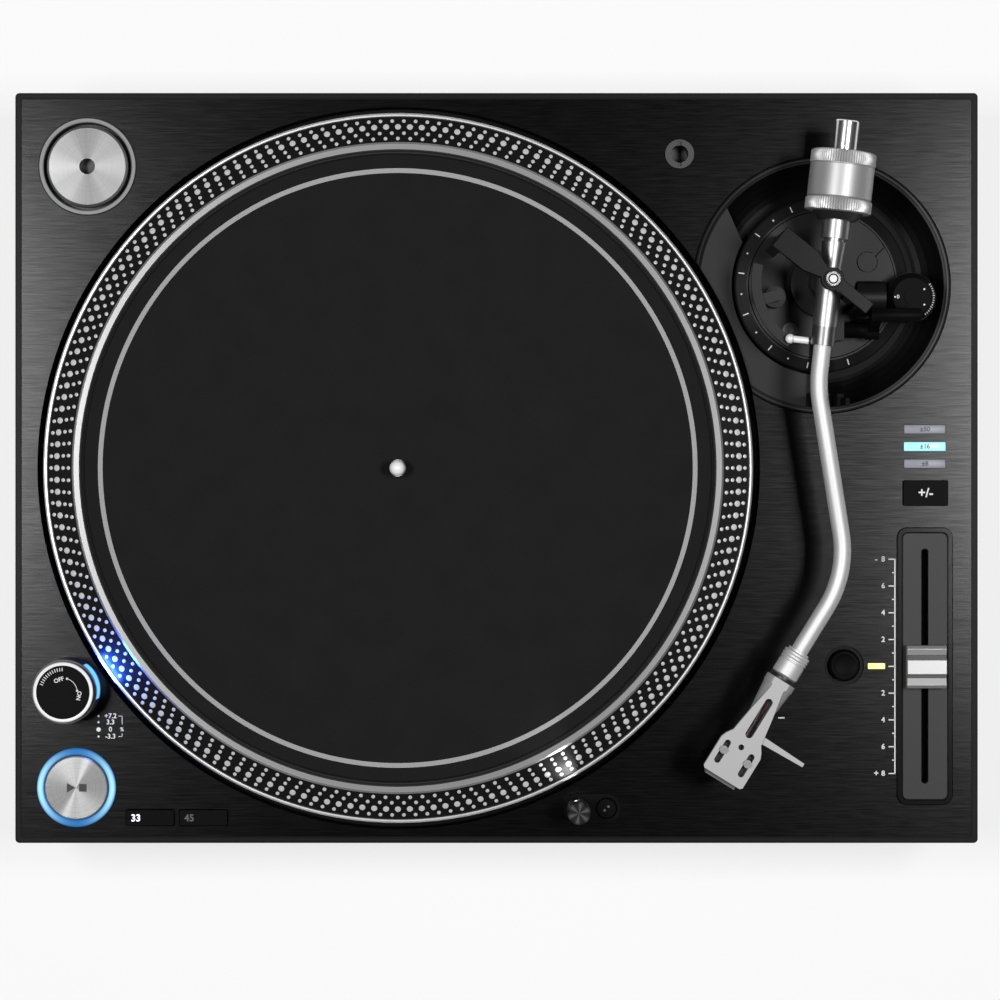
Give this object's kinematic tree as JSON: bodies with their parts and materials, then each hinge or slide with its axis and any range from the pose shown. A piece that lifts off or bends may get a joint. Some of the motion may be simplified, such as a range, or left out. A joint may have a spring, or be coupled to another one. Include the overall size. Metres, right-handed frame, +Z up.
{
  "type": "direct drive turntable",
  "caption": "Direct-drive DJ turntable: rectangular deck with dotted platter, felt mat, S-shaped tonearm on a height-adjustable base, tempo fader, push buttons and strobe tower.",
  "frame": {"origin": "on the table, under the middle of the body", "axes": "X to the right along the width, Y to the rear, Z up"},
  "size_m": [0.453, 0.353, 0.159],
  "materials": {
    "anodised_panel": "brushed dark anodised sheet",
    "black_metal": "satin black paint",
    "base_plastic": "fine grained black moulding",
    "silver_metal": "machined and satin anodised",
    "steel": "turned steel",
    "chrome": "polished plating",
    "brass": "turned brass",
    "magnet": "sintered ferrite",
    "board": "green laminate with parts",
    "black_plastic": "satin black moulding",
    "gloss_black": "gloss black moulding",
    "dark_grey": "satin dark grey paint",
    "blue_light": "translucent light guide",
    "lamp_glass": "translucent lamp window",
    "felt": "fine woven felt",
    "foot_rubber": "soft black rubber"
  },
  "bodies": {
    "chassis": {"top_chassis": "black_metal", "top_panel": "anodised_panel", "base_cabinet": "base_plastic", "bottom_cover": "black_metal", "bottom_screws": "steel", "bearing_housing": "brass", "motor_stator": "board", "switch_boards": "board", "power_supply_board": "board", "jack_panel": "black_metal", "mains_inlet": "black_plastic", "strobe_housing": "black_plastic", "strobe_lens": "blue_light", "start_ring": "blue_light", "adapter_cup": "dark_grey", "lamp_plate": "black_plastic", "headshell_socket": "black_plastic", "tempo_frame": "black_plastic", "tempo_fader": "black_plastic", "indicator_lamps": "lamp_glass", "arm_dish": "gloss_black"},
    "platter": {"platter": "silver_metal", "spindle": "steel", "rotor_magnet": "magnet"},
    "slipmat": {"slipmat": "felt"},
    "adapter": {"adapter_45": "silver_metal"},
    "power_knob": {"power_knob": "black_plastic"},
    "start_button": {"start_button": "silver_metal"},
    "button_33": {"button_33": "black_plastic"},
    "button_45": {"button_45": "black_plastic"},
    "stylus_lamp": {"stylus_lamp": "silver_metal"},
    "lamp_button": {"lamp_button": "black_plastic"},
    "reset_button": {"reset_button": "black_plastic"},
    "range_button": {"range_button": "black_plastic"},
    "tempo_slider": {"tempo_slider": "silver_metal"},
    "ground_screw": {"ground_screw": "steel"},
    "arm_base": {"arm_base": "dark_grey", "arm_yoke": "dark_grey", "arm_rest": "black_plastic"},
    "height_ring": {"height_ring": "dark_grey"},
    "height_lock": {"height_lock": "dark_grey"},
    "cue_lever": {"cue_lever": "black_plastic"},
    "lift_platform": {"lift_platform": "dark_grey"},
    "anti_skate": {"anti_skate_dial": "black_plastic"},
    "rest_clip": {"rest_clip": "black_plastic"},
    "gimbal": {"gimbal_frame": "dark_grey"},
    "tonearm": {"arm_tube": "silver_metal", "arm_sleeve": "chrome"},
    "weight_carrier": {"weight_bush": "brass"},
    "counterweight": {"counterweight": "silver_metal"},
    "weight_dial": {"weight_dial": "silver_metal"},
    "lock_collar": {"lock_collar": "chrome"},
    "headshell": {"headshell": "silver_metal", "cartridge": "black_plastic", "stylus": "steel", "cartridge_screws": "steel"},
    "foot_front_left": {"foot_front_left": "foot_rubber"},
    "foot_front_right": {"foot_front_right": "foot_rubber"},
    "foot_rear_left": {"foot_rear_left": "foot_rubber"},
    "foot_rear_right": {"foot_rear_right": "foot_rubber"}
  },
  "joints": [
    {"name": "platter_spin", "type": "hinge", "parent": "chassis", "child": "platter", "pos_m": [-0.046, 0, 0.1], "axis": [0, 0, 1], "continuous": true},
    {"name": "slipmat_slip", "type": "hinge", "parent": "platter", "child": "slipmat", "pos_m": [-0.046, 0, 0.1155], "axis": [0, 0, 1], "continuous": true},
    {"name": "adapter_lift", "type": "slide", "parent": "chassis", "child": "adapter", "axis": [0, 0, 1], "range_m": [0, 0.03]},
    {"name": "power_turn", "type": "hinge", "parent": "chassis", "child": "power_knob", "pos_m": [-0.201, -0.104, 0.12], "axis": [0, 0, 1], "range_deg": [0, 60]},
    {"name": "start_press", "type": "slide", "parent": "chassis", "child": "start_button", "axis": [0, 0, -1], "range_m": [0, 0.0012], "stiffness_N_per_m": 600, "springref_m": -0.002},
    {"name": "button_33_press", "type": "slide", "parent": "chassis", "child": "button_33", "axis": [0, 0, -1], "range_m": [0, 0.0012], "stiffness_N_per_m": 600, "springref_m": -0.002},
    {"name": "button_45_press", "type": "slide", "parent": "chassis", "child": "button_45", "axis": [0, 0, -1], "range_m": [0, 0.0012], "stiffness_N_per_m": 600, "springref_m": -0.002},
    {"name": "lamp_lower", "type": "slide", "parent": "chassis", "child": "stylus_lamp", "axis": [0, 0, -1], "range_m": [0, 0.026]},
    {"name": "lamp_button_press", "type": "slide", "parent": "chassis", "child": "lamp_button", "axis": [0, 0, -1], "range_m": [0, 0.0012], "stiffness_N_per_m": 600, "springref_m": -0.002},
    {"name": "reset_press", "type": "slide", "parent": "chassis", "child": "reset_button", "axis": [0, 0, -1], "range_m": [0, 0.0012], "stiffness_N_per_m": 600, "springref_m": -0.002},
    {"name": "range_press", "type": "slide", "parent": "chassis", "child": "range_button", "axis": [0, 0, -1], "range_m": [0, 0.0012], "stiffness_N_per_m": 600, "springref_m": -0.002},
    {"name": "tempo_slide", "type": "slide", "parent": "chassis", "child": "tempo_slider", "axis": [0, 1, 0], "range_m": [-0.05, 0.05]},
    {"name": "ground_turn", "type": "hinge", "parent": "chassis", "child": "ground_screw", "pos_m": [0.164, 0.1655, 0.044], "axis": [0, 1, 0], "range_deg": [0, 720]},
    {"name": "arm_height_slide", "type": "slide", "parent": "chassis", "child": "arm_base", "axis": [0, 0, 1], "range_m": [0, 0.006]},
    {"name": "height_ring_turn", "type": "hinge", "parent": "chassis", "child": "height_ring", "pos_m": [0.153, 0.086, 0.095], "axis": [0, 0, 1], "range_deg": [0, 178]},
    {"name": "height_lock_turn", "type": "hinge", "parent": "arm_base", "child": "height_lock", "pos_m": [0.1742, 0.0968, 0.1], "axis": [0, 0, 1], "range_deg": [0, 90]},
    {"name": "cue_turn", "type": "hinge", "parent": "arm_base", "child": "cue_lever", "pos_m": [0.168, 0.0645, 0.111], "axis": [1, 0, 0], "range_deg": [0, 50.5]},
    {"name": "lift_slide", "type": "slide", "parent": "arm_base", "child": "lift_platform", "axis": [0, 0, -1], "range_m": [0, 0.004]},
    {"name": "anti_skate_turn", "type": "hinge", "parent": "arm_base", "child": "anti_skate", "pos_m": [0.1936, 0.0797, 0.113], "axis": [0, 0, 1], "range_deg": [0, 240]},
    {"name": "clip_turn", "type": "hinge", "parent": "arm_base", "child": "rest_clip", "pos_m": [0.15738, 0.03123, 0.1435], "axis": [0.0314, 0.9995, 0], "range_deg": [-90, 0]},
    {"name": "arm_swing", "type": "hinge", "parent": "arm_base", "child": "gimbal", "pos_m": [0.153, 0.086, 0.141], "axis": [0, 0, -1], "range_deg": [0, 42]},
    {"name": "arm_tilt", "type": "hinge", "parent": "gimbal", "child": "tonearm", "pos_m": [0.153, 0.086, 0.141], "axis": [-0.7771, 0.6293, 0], "range_deg": [0, 12]},
    {"name": "weight_slide", "type": "slide", "parent": "tonearm", "child": "weight_carrier", "axis": [0.1115, 0.9938, 0], "range_m": [0, 0.012]},
    {"name": "weight_turn", "type": "hinge", "parent": "weight_carrier", "child": "counterweight", "pos_m": [0.153, 0.086, 0.141], "axis": [0.1115, 0.9938, 0], "range_deg": [0, 1085]},
    {"name": "dial_turn", "type": "hinge", "parent": "counterweight", "child": "weight_dial", "pos_m": [0.153, 0.086, 0.141], "axis": [0.1115, 0.9938, 0], "continuous": true},
    {"name": "collar_turn", "type": "hinge", "parent": "tonearm", "child": "lock_collar", "pos_m": [0.13849, -0.08481, 0.141], "axis": [-0.5255, -0.8508, 0], "range_deg": [0, 60]},
    {"name": "headshell_pull", "type": "slide", "parent": "tonearm", "child": "headshell", "axis": [-0.5255, -0.8508, 0], "range_m": [0, 0.02]},
    {"name": "foot_front_left_adjust", "type": "slide", "parent": "chassis", "child": "foot_front_left", "axis": [0, 0, -1], "range_m": [0, 0.005]},
    {"name": "foot_front_right_adjust", "type": "slide", "parent": "chassis", "child": "foot_front_right", "axis": [0, 0, -1], "range_m": [0, 0.005]},
    {"name": "foot_rear_left_adjust", "type": "slide", "parent": "chassis", "child": "foot_rear_left", "axis": [0, 0, -1], "range_m": [0, 0.005]},
    {"name": "foot_rear_right_adjust", "type": "slide", "parent": "chassis", "child": "foot_rear_right", "axis": [0, 0, -1], "range_m": [0, 0.005]}
  ],
  "couplings": [
    {"joint": "height_ring_turn", "follows": "arm_height_slide", "rad_per_m": 514.87},
    {"joint": "cue_turn", "follows": "lift_slide", "rad_per_m": 218.17},
    {"joint": "weight_turn", "follows": "weight_slide", "rad_per_m": 1570.8}
  ]
}
